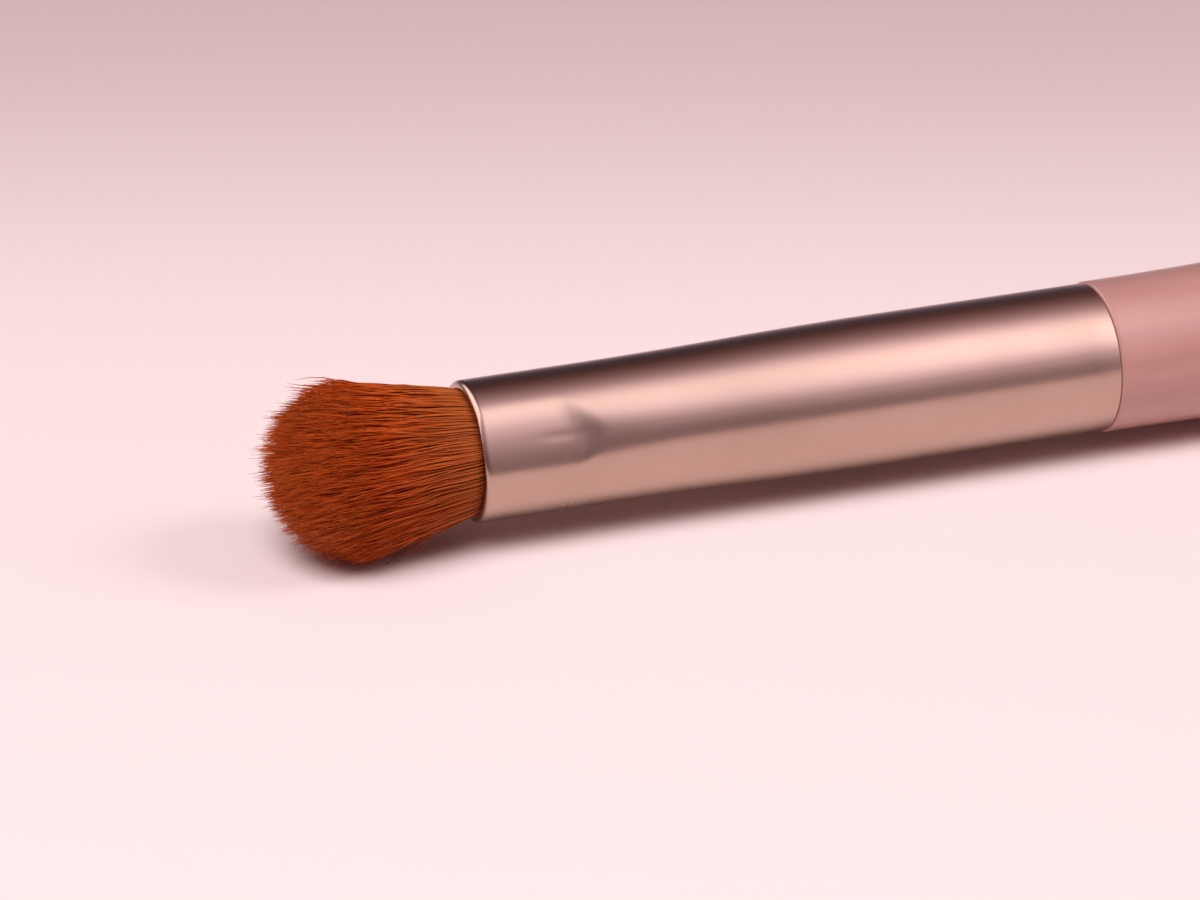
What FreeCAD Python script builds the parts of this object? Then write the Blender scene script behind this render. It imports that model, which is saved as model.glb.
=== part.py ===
"""Eyeshadow brush with a domed tuft, lying on its side.

A round tuft of burnt-orange synthetic filaments stands out of a drawn metal
ferrule, and the ferrule is glued on the tenon of a turned wooden handle. The
brush has no joint: the roots of the filaments are bound with thread and set
in cast resin, and the ferrule is glued round them and round the tenon.

Sizes are in millimetres. Each piece is drawn along the X axis, as a profile of
stations and radii. A station is the distance behind the ferrule's mouth, so
the tuft lies at negative stations and the handle at positive ones. The last
step puts the pieces in the part's frame: X runs along the brush from the tip
of the tuft to the butt of the handle, Z is up, and the origin is on the table
below the middle of the brush.
"""

import FreeCAD
import Part

import math
import os

# Tuft: what shows spills over the lip, then fans out as a cone to a dome.
tuft_length_out = 9.6
tuft_diameter = 8.5
tuft_spill = 0.25
tuft_spill_length = 0.35
tuft_shoulder_round = 1.6
dome_flattening = 0.05
tuft_clearance = 0.06
tuft_root_behind_waist = 2.4

# Partings between the tuft's locks, from the cone over the shoulder to the dome.
parting_depth = 0.35
parting_width = 0.9

# Flat thread wound tight round the roots, which it draws in to a waist.
waist_start = 3.5
waist_depth = 0.35
thread_width = 0.32
thread_thickness = 0.2
thread_pitch = 0.36
thread_turns = 4
thread_clearance = 0.01

# Resin cast behind the tuft, with the ends of the roots standing in it.
root_set_depth = 2.0
root_adhesive_length = 5.0

# Ferrule: a drawn tube with a land at each end and a slight swelling between.
ferrule_length = 31.4
ferrule_mouth_diameter = 6.6
ferrule_rear_diameter = 7.06
ferrule_wall = 0.32
ferrule_front_land = 5.0
ferrule_taper_length = 16.0
lip_round = 0.28
lip_turned_in = 0.04
lip_depth = 0.7
rear_edge_chamfer = 0.1

# Two flats pressed behind the lip, on opposite sides, to grip the tuft.
flat_depth = 0.1
flat_start = 0.5
flat_length = 4.2
flat_front_runout = 0.15
flat_rear_runout = 0.9
flat_angle = 27.0

# Handle: turned wood with a grooved tenon, a belly and a long tapered tail.
handle_length_out = 127.0
shoulder_diameter = 7.22
shoulder_edge_round = 0.15
belly_diameter = 8.5
swell_length = 34.0
belly_band_length = 8.0
tail_bend_reach = 20.0
tail_diameter = 4.3
butt_edge_round = 1.6
tenon_chamfer = 0.5
glue_gap = 0.1
glue_groove_depth = 0.3
glue_groove_width = 1.6

# Shares of a double curve's length at which it turns from hollow to full.
taper_turn_share = 0.5
swell_turn_share = 0.25

# Where a parting starts, as a share of the cone, and ends, as a share of the dome's radius.
parting_start_share = 0.45
parting_end_share = 0.55

# Where the partings lie round the tuft, as shares of a full turn.
parting_turn_shares = (0.03, 0.16, 0.27, 0.4, 0.52, 0.64, 0.78, 0.89)

# Cutting solids run past what they cut by this much.
overrun = 1.0

full_turn = 360.0

mouth_radius = ferrule_mouth_diameter / 2
rear_radius = ferrule_rear_diameter / 2
mouth_bore_radius = mouth_radius - ferrule_wall
rear_bore_radius = rear_radius - ferrule_wall
taper_start = ferrule_front_land
taper_end = ferrule_front_land + ferrule_taper_length
tuft_radius = tuft_diameter / 2
dome_radius = tuft_radius + dome_flattening
tuft_neck_radius = mouth_bore_radius - max(flat_depth, lip_turned_in) - tuft_clearance
waist_radius = tuft_neck_radius - waist_depth
waist_end = waist_start + thread_turns * thread_pitch + thread_width + 2 * thread_clearance
root_end = waist_end + waist_depth + tuft_root_behind_waist
root_adhesive_front = root_end - root_set_depth
root_adhesive_back = root_adhesive_front + root_adhesive_length
tenon_front = taper_end
tenon_radius = rear_bore_radius - glue_gap
shoulder_radius = shoulder_diameter / 2
belly_radius = belly_diameter / 2
tail_radius = tail_diameter / 2
belly_start = ferrule_length + swell_length
belly_end = belly_start + belly_band_length
butt_station = ferrule_length + handle_length_out
overall_length = tuft_length_out + butt_station
mouth_x = tuft_length_out - overall_length / 2
axis_height = max(tuft_radius, belly_radius)


def point(station, radius):
    """A point of a profile, which lies in the XZ plane with the brush's axis on X."""
    return FreeCAD.Vector(station, 0, radius)


def line(start, end):
    """A straight edge between two points."""
    return Part.LineSegment(start, end).toShape()


def arc(start, middle, end):
    """A round edge through three points."""
    return Part.Arc(start, middle, end).toShape()


def rounded_corner(before, corner, after, reach):
    """The arc that rounds a corner, tangent to both its sides.

    It leaves the side toward before at reach from the corner, and meets the
    side toward after at the same distance.
    """
    back = (before - corner).normalize()
    ahead = (after - corner).normalize()
    half_turn = (math.pi - back.getAngle(ahead)) / 2
    radius = reach / math.tan(half_turn)
    inward = (back + ahead).normalize()
    middle = corner + inward * radius * (1 / math.cos(half_turn) - 1)
    return arc(corner + back * reach, middle, corner + ahead * reach)


def turned(edges):
    """The solid that a closed profile sweeps in a full turn about the brush's axis."""
    face = Part.Face(Part.Wire(edges))
    return face.revolve(FreeCAD.Vector(), FreeCAD.Vector(1, 0, 0), full_turn)


def double_curve(start, end, turn_share):
    """Two arcs that leave start and reach end parallel to the axis.

    They meet on the straight line between the ends, at turn_share of its
    length, where they share a tangent.
    """
    bend = 2 * math.atan2(end.z - start.z, end.x - start.x)
    turn = start + (end - start) * turn_share
    first_radius = (turn.x - start.x) / math.sin(bend)
    second_radius = (end.x - turn.x) / math.sin(bend)
    halfway = point(math.sin(bend / 2), 1 - math.cos(bend / 2))
    first = arc(start, start + halfway * first_radius, turn)
    second = arc(turn, end - halfway * second_radius, end)
    return [first, second]


def slab(front, back):
    """A cylinder on the brush's axis between two stations, wider than any piece."""
    reach = belly_radius + tuft_radius
    return Part.makeCylinder(reach, back - front, point(front, 0), FreeCAD.Vector(1, 0, 0))


def press_pads(face_distance):
    """Two solids that press the flats: each has a level face with a ramp at both ends.

    The level face lies face_distance from the axis. The pair is turned so that
    one flat looks up and to the -Y side, and the other down and to the +Y side.
    """
    lift = overrun + flat_depth
    front_ramp = lift * flat_front_runout / flat_depth
    rear_ramp = lift * flat_rear_runout / flat_depth
    flat_end = flat_start + flat_length
    outline = [
        point(flat_start, face_distance),
        point(flat_end, face_distance),
        point(flat_end + rear_ramp, face_distance + lift),
        point(flat_start - front_ramp, face_distance + lift),
    ]
    half_width = FreeCAD.Vector(0, mouth_radius, 0)
    pad = Part.Face(Part.makePolygon(outline + outline[:1]))
    pad.translate(-half_width)
    pad = pad.extrude(half_width * 2)
    quarter = full_turn / 4
    turns = (quarter - flat_angle, -quarter - flat_angle)
    return [pad.rotated(FreeCAD.Vector(), FreeCAD.Vector(1, 0, 0), turn) for turn in turns]


def bore():
    """The space inside the ferrule, from in front of its mouth to behind its rear edge."""
    opening_radius = mouth_bore_radius - lip_turned_in
    front_foot = point(-overrun, 0)
    front = point(-overrun, opening_radius)
    mouth = point(0, opening_radius)
    lip_back = point(lip_depth, mouth_bore_radius)
    start = point(taper_start, mouth_bore_radius)
    end = point(taper_end, rear_bore_radius)
    rear = point(ferrule_length + overrun, rear_bore_radius)
    rear_foot = point(ferrule_length + overrun, 0)
    round_bore = turned([
        line(front_foot, front),
        line(front, mouth),
        line(mouth, lip_back),
        line(lip_back, start),
        line(start, end),
        line(end, rear),
        line(rear, rear_foot),
        line(rear_foot, front_foot),
    ])
    return round_bore.cut(press_pads(mouth_bore_radius - flat_depth))


def ferrule():
    """Drawn tube with a rounded lip at its mouth and two pressed flats behind it."""
    mouth_foot = point(0, 0)
    lip_corner = point(0, mouth_radius)
    lip_side = point(lip_round, mouth_radius)
    start = point(taper_start, mouth_radius)
    end = point(taper_end, rear_radius)
    edge_side = point(ferrule_length - rear_edge_chamfer, rear_radius)
    edge_back = point(ferrule_length, rear_radius - rear_edge_chamfer)
    rear_foot = point(ferrule_length, 0)
    blank = turned([
        line(mouth_foot, point(0, mouth_radius - lip_round)),
        rounded_corner(mouth_foot, lip_corner, lip_side, lip_round),
        line(lip_side, start),
        *double_curve(start, end, taper_turn_share),
        line(end, edge_side),
        line(edge_side, edge_back),
        line(edge_back, rear_foot),
        line(rear_foot, mouth_foot),
    ])
    return blank.cut(press_pads(mouth_radius - flat_depth)).cut(bore())


def on_circle(centre, radius, angle):
    """The point of a circle in the profile's plane, at an angle from the X axis."""
    return centre + point(math.cos(angle), math.sin(angle)) * radius


def tuft_outline():
    """Points of the tuft's outline in front of the mouth, from its tip back.

    The dome is an arc round a centre on the axis. A smaller arc rounds its
    shoulder, tangent to the dome and to the cone, and the cone starts where
    the filaments have spilled over the lip.
    """
    dome_centre = point(dome_radius - tuft_length_out, 0)
    arm = dome_radius - tuft_shoulder_round
    height = tuft_radius - tuft_shoulder_round
    shoulder_centre = dome_centre + point(-math.sqrt(arm**2 - height**2), height)
    spill_edge = point(-tuft_spill_length, tuft_neck_radius + tuft_spill)
    reach = spill_edge - shoulder_centre
    lean = shoulder_centre - dome_centre
    cone_angle = math.atan2(reach.z, reach.x) + math.acos(tuft_shoulder_round / reach.Length)
    dome_angle = math.atan2(lean.z, lean.x)
    parting_angle = math.pi - math.asin(parting_end_share)
    return {
        "tip": point(-tuft_length_out, 0),
        "parting_end": on_circle(dome_centre, dome_radius, parting_angle),
        "dome_middle": on_circle(dome_centre, dome_radius, (dome_angle + math.pi) / 2),
        "dome_edge": on_circle(dome_centre, dome_radius, dome_angle),
        "shoulder_middle": on_circle(
            shoulder_centre, tuft_shoulder_round, (dome_angle + cone_angle) / 2
        ),
        "cone_edge": on_circle(shoulder_centre, tuft_shoulder_round, cone_angle),
        "spill_edge": spill_edge,
    }


def partings(outline):
    """Wedges that cut the partings, each bent once.

    The bottom of a parting is a straight line that leaves the cone's surface
    at its start and reaches the parting's depth below the cone's wide edge.
    From there it is an arc, tangent to the line, that comes out on the dome.
    """
    spill_edge, cone_edge = outline["spill_edge"], outline["cone_edge"]
    along_cone = (cone_edge - spill_edge).normalize()
    bend = cone_edge + point(-along_cone.z, along_cone.x) * parting_depth
    start = spill_edge + (cone_edge - spill_edge) * parting_start_share
    run = bend - start
    along = point(run.x, run.z).normalize()
    inward = point(-along.z, along.x)
    chord = outline["parting_end"] - bend
    bottom_radius = chord.Length**2 / (2 * chord.dot(inward))
    turn = math.degrees(2 * math.asin(chord.Length / (2 * bottom_radius)))
    crest_height = parting_depth + overrun
    crest = bend - inward * crest_height
    flank = FreeCAD.Vector(0, crest_height * parting_width / (2 * parting_depth), 0)
    section = Part.Face(Part.makePolygon([bend, crest + flank, crest - flank, bend]))
    straight = section.extrude(along * -(run.Length + overrun))
    centre = bend + inward * bottom_radius
    bent = section.revolve(centre, FreeCAD.Vector(0, -1, 0), turn)
    axis = FreeCAD.Vector(1, 0, 0)
    return [
        wedge.rotated(FreeCAD.Vector(), axis, full_turn * share)
        for share in parting_turn_shares
        for wedge in (straight, bent)
    ]


def bristle_tuft():
    """The bundle of filaments: dome, shoulder, cone, neck and bound root, parted into locks."""
    outline = tuft_outline()
    neck_front = point(0, tuft_neck_radius)
    neck_back = point(waist_start - waist_depth, tuft_neck_radius)
    waist_front = point(waist_start, waist_radius)
    waist_back = point(waist_end, waist_radius)
    root_front = point(waist_end + waist_depth, tuft_neck_radius)
    root_back = point(root_end, tuft_neck_radius)
    root_foot = point(root_end, 0)
    blank = turned([
        arc(outline["tip"], outline["dome_middle"], outline["dome_edge"]),
        arc(outline["dome_edge"], outline["shoulder_middle"], outline["cone_edge"]),
        line(outline["cone_edge"], outline["spill_edge"]),
        line(outline["spill_edge"], neck_front),
        line(neck_front, neck_back),
        line(neck_back, waist_front),
        line(waist_front, waist_back),
        line(waist_back, root_front),
        line(root_front, root_back),
        line(root_back, root_foot),
        line(root_foot, outline["tip"]),
    ])
    return blank.cut(partings(outline))


def root_binding():
    """Flat thread wound round the waist: one band along a helix made of half turns."""
    radius = waist_radius + thread_clearance + thread_thickness / 2
    front = waist_start + thread_clearance + thread_width / 2

    def place(turns):
        """A point on the helix, so many turns from its front end."""
        angle = 2 * math.pi * turns
        return FreeCAD.Vector(
            front + turns * thread_pitch, radius * math.cos(angle), radius * math.sin(angle)
        )

    halves = [
        Part.Arc(place(half / 2), place((half + 0.5) / 2), place((half + 1) / 2)).toShape()
        for half in range(2 * thread_turns)
    ]
    along = halves[0].tangentAt(halves[0].FirstParameter)
    outward = FreeCAD.Vector(0, thread_thickness / 2, 0)
    sideways = along.cross(outward).normalize() * (thread_width / 2)
    corners = [
        place(0) + outward + sideways,
        place(0) + outward - sideways,
        place(0) - outward - sideways,
        place(0) - outward + sideways,
    ]
    section = Part.makePolygon(corners + corners[:1])
    return Part.Wire(halves).makePipeShell([section], True, False)


def root_adhesive(tuft):
    """Resin cast across the bore, moulded round the ends of the roots."""
    return bore().common(slab(root_adhesive_front, root_adhesive_back)).cut(tuft)


def glue_groove():
    """The ring cut round the middle of the tenon, which the glue keys into."""
    front = (tenon_front + ferrule_length - glue_groove_width) / 2
    floor = Part.makeCylinder(
        tenon_radius - glue_groove_depth,
        glue_groove_width,
        point(front, 0),
        FreeCAD.Vector(1, 0, 0),
    )
    return slab(front, front + glue_groove_width).cut(floor)


def handle():
    """Turned handle: grooved tenon, shoulder, belly band, tapered tail and rounded butt."""
    tenon_foot = point(tenon_front, 0)
    chamfer_front = point(tenon_front, tenon_radius - tenon_chamfer)
    chamfer_back = point(tenon_front + tenon_chamfer, tenon_radius)
    tenon_back = point(ferrule_length, tenon_radius)
    shoulder_corner = point(ferrule_length, shoulder_radius)
    shoulder_side = point(ferrule_length + shoulder_edge_round, shoulder_radius)
    belly_front = point(belly_start, belly_radius)
    belly_back = point(belly_end, belly_radius)
    tail_corner = point(belly_end + tail_bend_reach, belly_radius)
    butt_corner = point(butt_station, tail_radius)
    butt_foot = point(butt_station, 0)
    shoulder = rounded_corner(tenon_back, shoulder_corner, shoulder_side, shoulder_edge_round)
    tail_bend = rounded_corner(belly_back, tail_corner, butt_corner, tail_bend_reach)
    butt = rounded_corner(tail_corner, butt_corner, butt_foot, butt_edge_round)
    blank = turned([
        line(tenon_foot, chamfer_front),
        line(chamfer_front, chamfer_back),
        line(chamfer_back, tenon_back),
        line(tenon_back, shoulder.firstVertex(True).Point),
        shoulder,
        *double_curve(shoulder_side, belly_front, swell_turn_share),
        line(belly_front, belly_back),
        tail_bend,
        line(tail_bend.lastVertex(True).Point, butt.firstVertex(True).Point),
        butt,
        line(butt.lastVertex(True).Point, butt_foot),
        line(butt_foot, tenon_foot),
    ])
    return blank.cut(glue_groove())


def tenon_adhesive(turned_handle):
    """Glue that fills the gap round the tenon, with a rib where the groove is."""
    return bore().common(slab(tenon_front, ferrule_length)).cut(turned_handle)


def main():
    """Builds each piece, puts it in the part's frame, checks it and writes its file."""
    tuft = bristle_tuft()
    turned_handle = handle()
    pieces = {
        "bristle_tuft": tuft,
        "root_binding": root_binding(),
        "root_adhesive": root_adhesive(tuft),
        "ferrule": ferrule(),
        "tenon_adhesive": tenon_adhesive(turned_handle),
        "handle": turned_handle,
    }
    os.makedirs("parts", exist_ok=True)
    for name, shape in pieces.items():
        placed = shape.Solids[0].copy()
        placed.translate(FreeCAD.Vector(mouth_x, 0, axis_height))
        box = placed.optimalBoundingBox(False, False)
        print(
            f"{name}: {len(shape.Solids)} solid, valid {placed.isValid()}, "
            f"{placed.Volume:.2f} mm3, x {box.XMin:.2f} to {box.XMax:.2f}, "
            f"z {box.ZMin:.3f} to {box.ZMax:.3f}"
        )
        placed.exportStep(os.path.join("parts", name + ".step"))


main()
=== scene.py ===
"""Looks of an eyeshadow brush that lies on its side on a pale pink table.

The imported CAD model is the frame. Three pieces are made here with more detail
than their solids have: the tuft as separate filaments, the ferrule with its
rolled lip and soft-edged press flats, and the turned, lacquered handle. The
thread, the resin and the glue inside the ferrule stay as packed and get their
own finishes.

Sizes are in millimetres. A station is the distance behind the ferrule's mouth
along the brush, so the tuft lies at negative stations. The angle round the
axis is 0 on the -Y side, where the viewer is, and grows upwards.
"""

import logging
import math
from dataclasses import dataclass, field, fields
from enum import Enum

import bpy
import numpy as np
from mathutils import Matrix, Vector

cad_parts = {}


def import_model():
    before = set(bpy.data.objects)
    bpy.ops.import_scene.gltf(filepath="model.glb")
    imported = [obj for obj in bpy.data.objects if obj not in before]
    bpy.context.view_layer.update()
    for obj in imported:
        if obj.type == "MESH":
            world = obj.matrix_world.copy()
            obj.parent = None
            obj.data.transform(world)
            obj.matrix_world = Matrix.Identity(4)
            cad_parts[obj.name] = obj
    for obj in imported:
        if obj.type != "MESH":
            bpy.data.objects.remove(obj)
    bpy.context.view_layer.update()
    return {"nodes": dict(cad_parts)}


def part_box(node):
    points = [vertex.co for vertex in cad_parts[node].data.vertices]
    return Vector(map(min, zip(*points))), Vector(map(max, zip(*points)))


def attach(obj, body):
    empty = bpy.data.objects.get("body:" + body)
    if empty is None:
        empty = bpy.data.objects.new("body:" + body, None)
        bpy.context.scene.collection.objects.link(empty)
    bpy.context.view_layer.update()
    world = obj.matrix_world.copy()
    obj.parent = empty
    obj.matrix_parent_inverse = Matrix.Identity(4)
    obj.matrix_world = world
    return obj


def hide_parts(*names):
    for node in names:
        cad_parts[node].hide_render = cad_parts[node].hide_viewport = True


MM = 0.001
SAME_POINT = 1e-5
FULL_TURN = 6.28
BAKE_MAP = "OFBake"
log = logging.getLogger("brush")


def linear(code: str) -> tuple[float, float, float, float]:
    """Turns an sRGB hex colour into the linear colour that the shaders use.

    Args:
        code: Six hex digits after a hash sign.

    Returns:
        Red, green and blue in linear light, with an alpha of 1.
    """
    shares = [int(code[i : i + 2], 16) / 255 for i in (1, 3, 5)]
    light = [c / 12.92 if c <= 0.04045 else ((c + 0.055) / 1.055) ** 2.4 for c in shares]
    return (*light, 1.0)


def add_node(tree: bpy.types.NodeTree, kind: str, settings: dict | None = None, **inputs) -> bpy.types.Node:
    """Adds one node to a tree, sets its settings, and fills or links its inputs.

    Args:
        tree: The node tree.
        kind: The node's type name.
        settings: Properties of the node itself.
        **inputs: One value or output socket for each input. A name's underscores stand for
            spaces, and a name such as at_1 stands for the input at that place.

    Returns:
        The new node.
    """
    node = tree.nodes.new(kind)
    for name, value in (settings or {}).items():
        setattr(node, name, value)
    for name, value in inputs.items():
        place = int(name[3:]) if name.startswith("at_") else name.replace("_", " ")
        socket = node.inputs[place]
        if isinstance(value, bpy.types.NodeSocket):
            tree.links.new(value, socket)
        else:
            socket.default_value = value
    return node


def fill_ramp(node: bpy.types.Node, stops: dict[float, str]) -> bpy.types.NodeSocket:
    """Gives a colour ramp its stops.

    Args:
        node: The colour ramp node.
        stops: The hex colour at each place from 0 to 1.

    Returns:
        The ramp's colour output.
    """
    elements = node.color_ramp.elements
    while len(elements) < len(stops):
        elements.new(0.5)
    for element, (place, code) in zip(elements, sorted(stops.items())):
        element.position = place
        element.color = linear(code)
    return node.outputs["Color"]


def new_material(name: str) -> tuple[bpy.types.Material, bpy.types.NodeTree, bpy.types.Node]:
    """Makes a material that holds only its shader and output.

    Args:
        name: The material's name.

    Returns:
        The material, its node tree and its Principled shader.
    """
    material = bpy.data.materials.new(name)
    material.use_nodes = True
    tree = material.node_tree
    tree.nodes.clear()
    shader = add_node(tree, "ShaderNodeBsdfPrincipled")
    add_node(tree, "ShaderNodeOutputMaterial", Surface=shader.outputs["BSDF"])
    return material, tree, shader


def set_inputs(node: bpy.types.Node, values: dict[str, object]) -> None:
    """Sets constants on a node's own sockets.

    Args:
        node: The node.
        values: The value of each named input.
    """
    for name, value in values.items():
        node.inputs[name].default_value = value


def millimetres(tree: bpy.types.NodeTree, scale: tuple[float, float, float]) -> bpy.types.NodeSocket:
    """Object coordinates turned from metres to millimetres, then stretched.

    Args:
        tree: The node tree.
        scale: The stretch on each axis, after the turn to millimetres.

    Returns:
        The vector output.
    """
    place = add_node(tree, "ShaderNodeTexCoord").outputs["Object"]
    stretch = tuple(s / MM for s in scale)
    return add_node(tree, "ShaderNodeMapping", Vector=place, Scale=stretch).outputs["Vector"]


@dataclass(frozen=True)
class FilamentFinish:
    """Solution-dyed PBT filament, extruded and chemically tapered.

    To the eye it is burnt orange with a low, tinted gloss and the soft sheen of an etched skin.
    No two filaments have quite the same tone. Over it lie painted shade and painted light: dark and
    pale dashes along each filament where it dips among its neighbours, a painted highlight that makes
    them paler and greyer near the mouth in place of sheen and light from the table, painted light
    that makes their thin ends paler as if light passed through them, and painted shade that darkens
    the roots out to just in front of the mouth. A reach is where a tone starts and where it is full,
    with the root at 0, the mouth at a half and the tip at 1.
    """

    strips: int = 256
    strip_step: float = 0.43
    # Share of the painted shade and light dashes in the tone ramp.
    painted_shade_dash_share: float = 0.6
    tone_places: tuple[float, ...] = (0.27, 0.46, 0.56, 0.75)
    # The ramp's dark and bright ends carry both random tone and the painted shade and light of the dashes.
    dark: str = "#8E2C08"
    body: str = "#B7400D"
    bright: str = "#C4591C"
    # Painted light: the tip and fringe colours make the thin ends paler, as light passing through them
    # would.
    tip: str = "#BE4A12"
    tip_share: float = 0.35
    painted_tip_light_reach: tuple[float, float] = (0.72, 1.0)
    fringe: str = "#D8894A"
    painted_fringe_light_share: float = 0.25
    painted_fringe_light_reach: tuple[float, float] = (0.97, 1.0)
    # Painted highlight near the mouth, standing in for sheen and light bounced from the table.
    painted_mouth_highlight: str = "#AC5C2E"
    painted_mouth_highlight_share: float = 0.8
    painted_mouth_highlight_reach: tuple[float, float] = (0.92, 0.52)
    # Painted shade at the roots, out to just in front of the mouth, where the lip shades the tuft.
    root: str = "#6E2408"
    root_reach: tuple[float, float] = (0.53, 0.49)
    gloss: str = "#FFC4A0"
    roughness: float = 0.5
    sheen: float = 0.5
    sheen_tint: str = "#D98A54"
    # Length of the painted shade and light dashes along a filament.
    painted_shade_dash_length: float = 1.5
    shown_length: float = 9.6

    def material(self) -> bpy.types.Material:
        """Builds the material. Its map has one upright strip for each tone, with the root at 0.

        Returns:
            The material.
        """
        material, tree, shader = new_material("dyed_filament")
        set_inputs(shader, {
            "Roughness": self.roughness, "IOR": 1.55,
            "Specular IOR Level": 0.15, "Specular Tint": linear(self.gloss),
            "Sheen Weight": self.sheen, "Sheen Roughness": 0.5, "Sheen Tint": linear(self.sheen_tint),
        })
        place = add_node(tree, "ShaderNodeUVMap", {"uv_map": BAKE_MAP}).outputs["UV"]
        split = add_node(tree, "ShaderNodeSeparateXYZ", Vector=place)
        along = split.outputs["Y"]
        times = {"operation": "MULTIPLY"}
        strip = add_node(tree, "ShaderNodeMath", times, at_0=split.outputs["X"], at_1=float(self.strips))
        whole = add_node(tree, "ShaderNodeMath", {"operation": "FLOOR"}, at_0=strip.outputs[0])
        chance = add_node(tree, "ShaderNodeTexWhiteNoise", {"noise_dimensions": "1D"}, W=whole.outputs[0])
        # Random tone for each strip, mixed with painted shade and light dashes that run along each
        # filament.
        cycles = 2 * self.shown_length / self.painted_shade_dash_length
        far = add_node(tree, "ShaderNodeMath", times, at_0=along, at_1=cycles)
        side = add_node(tree, "ShaderNodeMath", times, at_0=whole.outputs[0], at_1=self.strip_step)
        spot = add_node(tree, "ShaderNodeCombineXYZ", X=side.outputs[0], Y=far.outputs[0])
        drift = add_node(
            tree, "ShaderNodeTexNoise", {"noise_dimensions": "2D"},
            Vector=spot.outputs["Vector"], Scale=1.0, Detail=1.0,
        )
        blend = add_node(
            tree, "ShaderNodeMix", {"data_type": "FLOAT"},
            Factor=self.painted_shade_dash_share, at_2=chance.outputs["Value"], at_3=drift.outputs["Fac"],
        )
        tone = fill_ramp(
            add_node(tree, "ShaderNodeValToRGB", Fac=blend.outputs[0]),
            dict(zip(self.tone_places, (self.dark, self.body, self.body, self.bright))),
        )
        # Over the tone go the painted highlight near the mouth, the painted light at the tips and fringe
        # and the painted shade at the roots.
        for (low, high), share, colour in (
            (self.painted_mouth_highlight_reach, self.painted_mouth_highlight_share, self.painted_mouth_highlight),
            (self.painted_tip_light_reach, self.tip_share, self.tip),
            (self.painted_fringe_light_reach, self.painted_fringe_light_share, self.fringe),
            (self.root_reach, 1.0, self.root),
        ):
            amount = add_node(
                tree, "ShaderNodeMapRange", Value=along, From_Min=low, From_Max=high, To_Max=share
            )
            tone = add_node(
                tree, "ShaderNodeMix", {"data_type": "RGBA"},
                Factor=amount.outputs["Result"], at_6=tone, at_7=linear(colour),
            ).outputs[2]
        tree.links.new(tone, shader.inputs["Base Color"])
        return material


@dataclass(frozen=True)
class RoseGoldMetal:
    """Aluminium tube, drawn, polished and anodised rose gold.

    To the eye it is a soft mirror. Drawing leaves hairlines round the tube. They are too fine
    to show singly, so they are drawn 0.12 mm apart, as slight changes of gloss that are longer
    round the tube than along it. Handling leaves patches that are a little duller.
    """

    colour: str = "#C2A698"
    colour_worn: str = "#BCA091"
    roughness: float = 0.25
    hairline: float = 0.12
    hairline_stretch: float = 0.12
    hairline_gloss: float = 0.015
    patch: float = 6.0
    patch_gloss: tuple[float, float] = (-0.03, 0.04)

    def material(self) -> bpy.types.Material:
        """Builds the material on Object coordinates.

        Returns:
            The material.
        """
        material, tree, shader = new_material("anodised_rose_gold_aluminium")
        set_inputs(shader, {"Metallic": 1.0})
        patches = add_node(
            tree, "ShaderNodeTexNoise",
            Vector=millimetres(tree, (1, 1, 1)), Scale=1 / self.patch, Detail=3.0,
        ).outputs["Fac"]
        lines = add_node(
            tree, "ShaderNodeTexNoise",
            Vector=millimetres(tree, (1, self.hairline_stretch, self.hairline_stretch)),
            Scale=1 / self.hairline, Detail=2.0,
        ).outputs["Fac"]
        colour = fill_ramp(
            add_node(tree, "ShaderNodeValToRGB", Fac=patches), {0.35: self.colour, 0.7: self.colour_worn}
        )
        dull = add_node(
            tree, "ShaderNodeMapRange", Value=patches,
            To_Min=self.roughness + self.patch_gloss[0], To_Max=self.roughness + self.patch_gloss[1],
        ).outputs["Result"]
        fine = add_node(
            tree, "ShaderNodeMapRange", Value=lines,
            To_Min=-self.hairline_gloss, To_Max=self.hairline_gloss,
        ).outputs["Result"]
        rough = add_node(tree, "ShaderNodeMath", {"operation": "ADD"}, at_0=dull, at_1=fine)
        tree.links.new(colour, shader.inputs["Base Color"])
        tree.links.new(rough.outputs[0], shader.inputs["Roughness"])
        return material


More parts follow.
